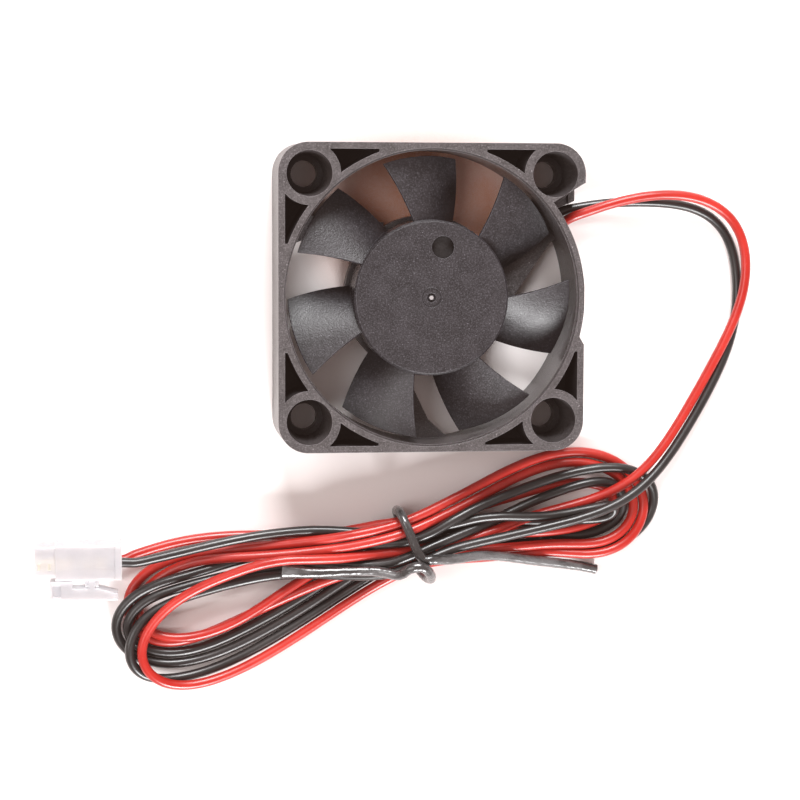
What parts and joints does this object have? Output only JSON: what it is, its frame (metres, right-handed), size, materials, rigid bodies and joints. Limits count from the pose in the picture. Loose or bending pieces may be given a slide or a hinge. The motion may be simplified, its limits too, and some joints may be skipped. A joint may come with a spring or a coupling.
{
  "type": "axial cooling fan",
  "caption": "Small square axial cooling fan, brushless, with swept blades, counterbored corner holes and a coiled two-wire lead that ends in a latching plug.",
  "frame": {"origin": "on the rotor axis at the rear mounting face, which is also the plane the lead lies on", "axes": "+Z along the rotor axis out of the open intake side; +X towards the side where the lead leaves the frame; +Y completes the frame, away from the coiled lead"},
  "size_m": [0.0959, 0.0723, 0.01],
  "materials": {
    "frame_plastic": "moulded matte, glass filled",
    "rotor_plastic": "moulded satin",
    "steel": "drawn steel",
    "magnet": "bonded ferrite, matt",
    "shaft_steel": "ground",
    "clip_plastic": "nylon",
    "bearing_bronze": "sintered bronze, oiled",
    "insulator": "moulded",
    "copper_wire": "enamelled copper",
    "board": "solder resist",
    "chip": "moulded epoxy",
    "ceramic": "fired ceramic",
    "solder": "soldered, bright",
    "copper": "bare stranded copper",
    "red_pvc": "extruded, glossy",
    "black_pvc": "extruded, glossy",
    "tie_plastic": "extruded, dull",
    "nylon": "moulded, milky",
    "tin_brass": "tin plated",
    "label": "blank printed-stock film"
  },
  "bodies": {
    "stator": {"fan_frame": "frame_plastic", "sleeve_bearing": "bearing_bronze", "oil_washer": "clip_plastic", "thrust_pad": "clip_plastic", "stator_core": "steel", "lower_insulator": "insulator", "upper_insulator": "insulator", "stator_coils": "copper_wire", "winding_pins": "solder", "circuit_board": "board", "hall_sensor": "chip", "driver_chip": "chip", "board_capacitor": "ceramic", "solder_joints": "solder", "wire_conductors": "copper", "red_wire": "red_pvc", "black_wire": "black_pvc", "tie_coating": "tie_plastic", "tie_core": "steel", "connector_housing": "nylon", "crimp_terminals": "tin_brass", "rear_label": "label"},
    "rotor": {"impeller": "rotor_plastic", "rotor_yoke": "steel", "ring_magnet": "magnet", "rotor_shaft": "shaft_steel", "retaining_clip": "clip_plastic"},
    "latch": {"latch_lever": "nylon"}
  },
  "joints": [
    {"name": "rotor_spin", "type": "hinge", "parent": "stator", "child": "rotor", "pos_m": [0, 0, 0.004], "axis": [0, 0, 1], "continuous": true},
    {"name": "latch_rock", "type": "hinge", "parent": "stator", "child": "latch", "pos_m": [-0.044, -0.03745, 0.003], "axis": [0, 0, 1], "range_deg": [0, 8]}
  ]
}
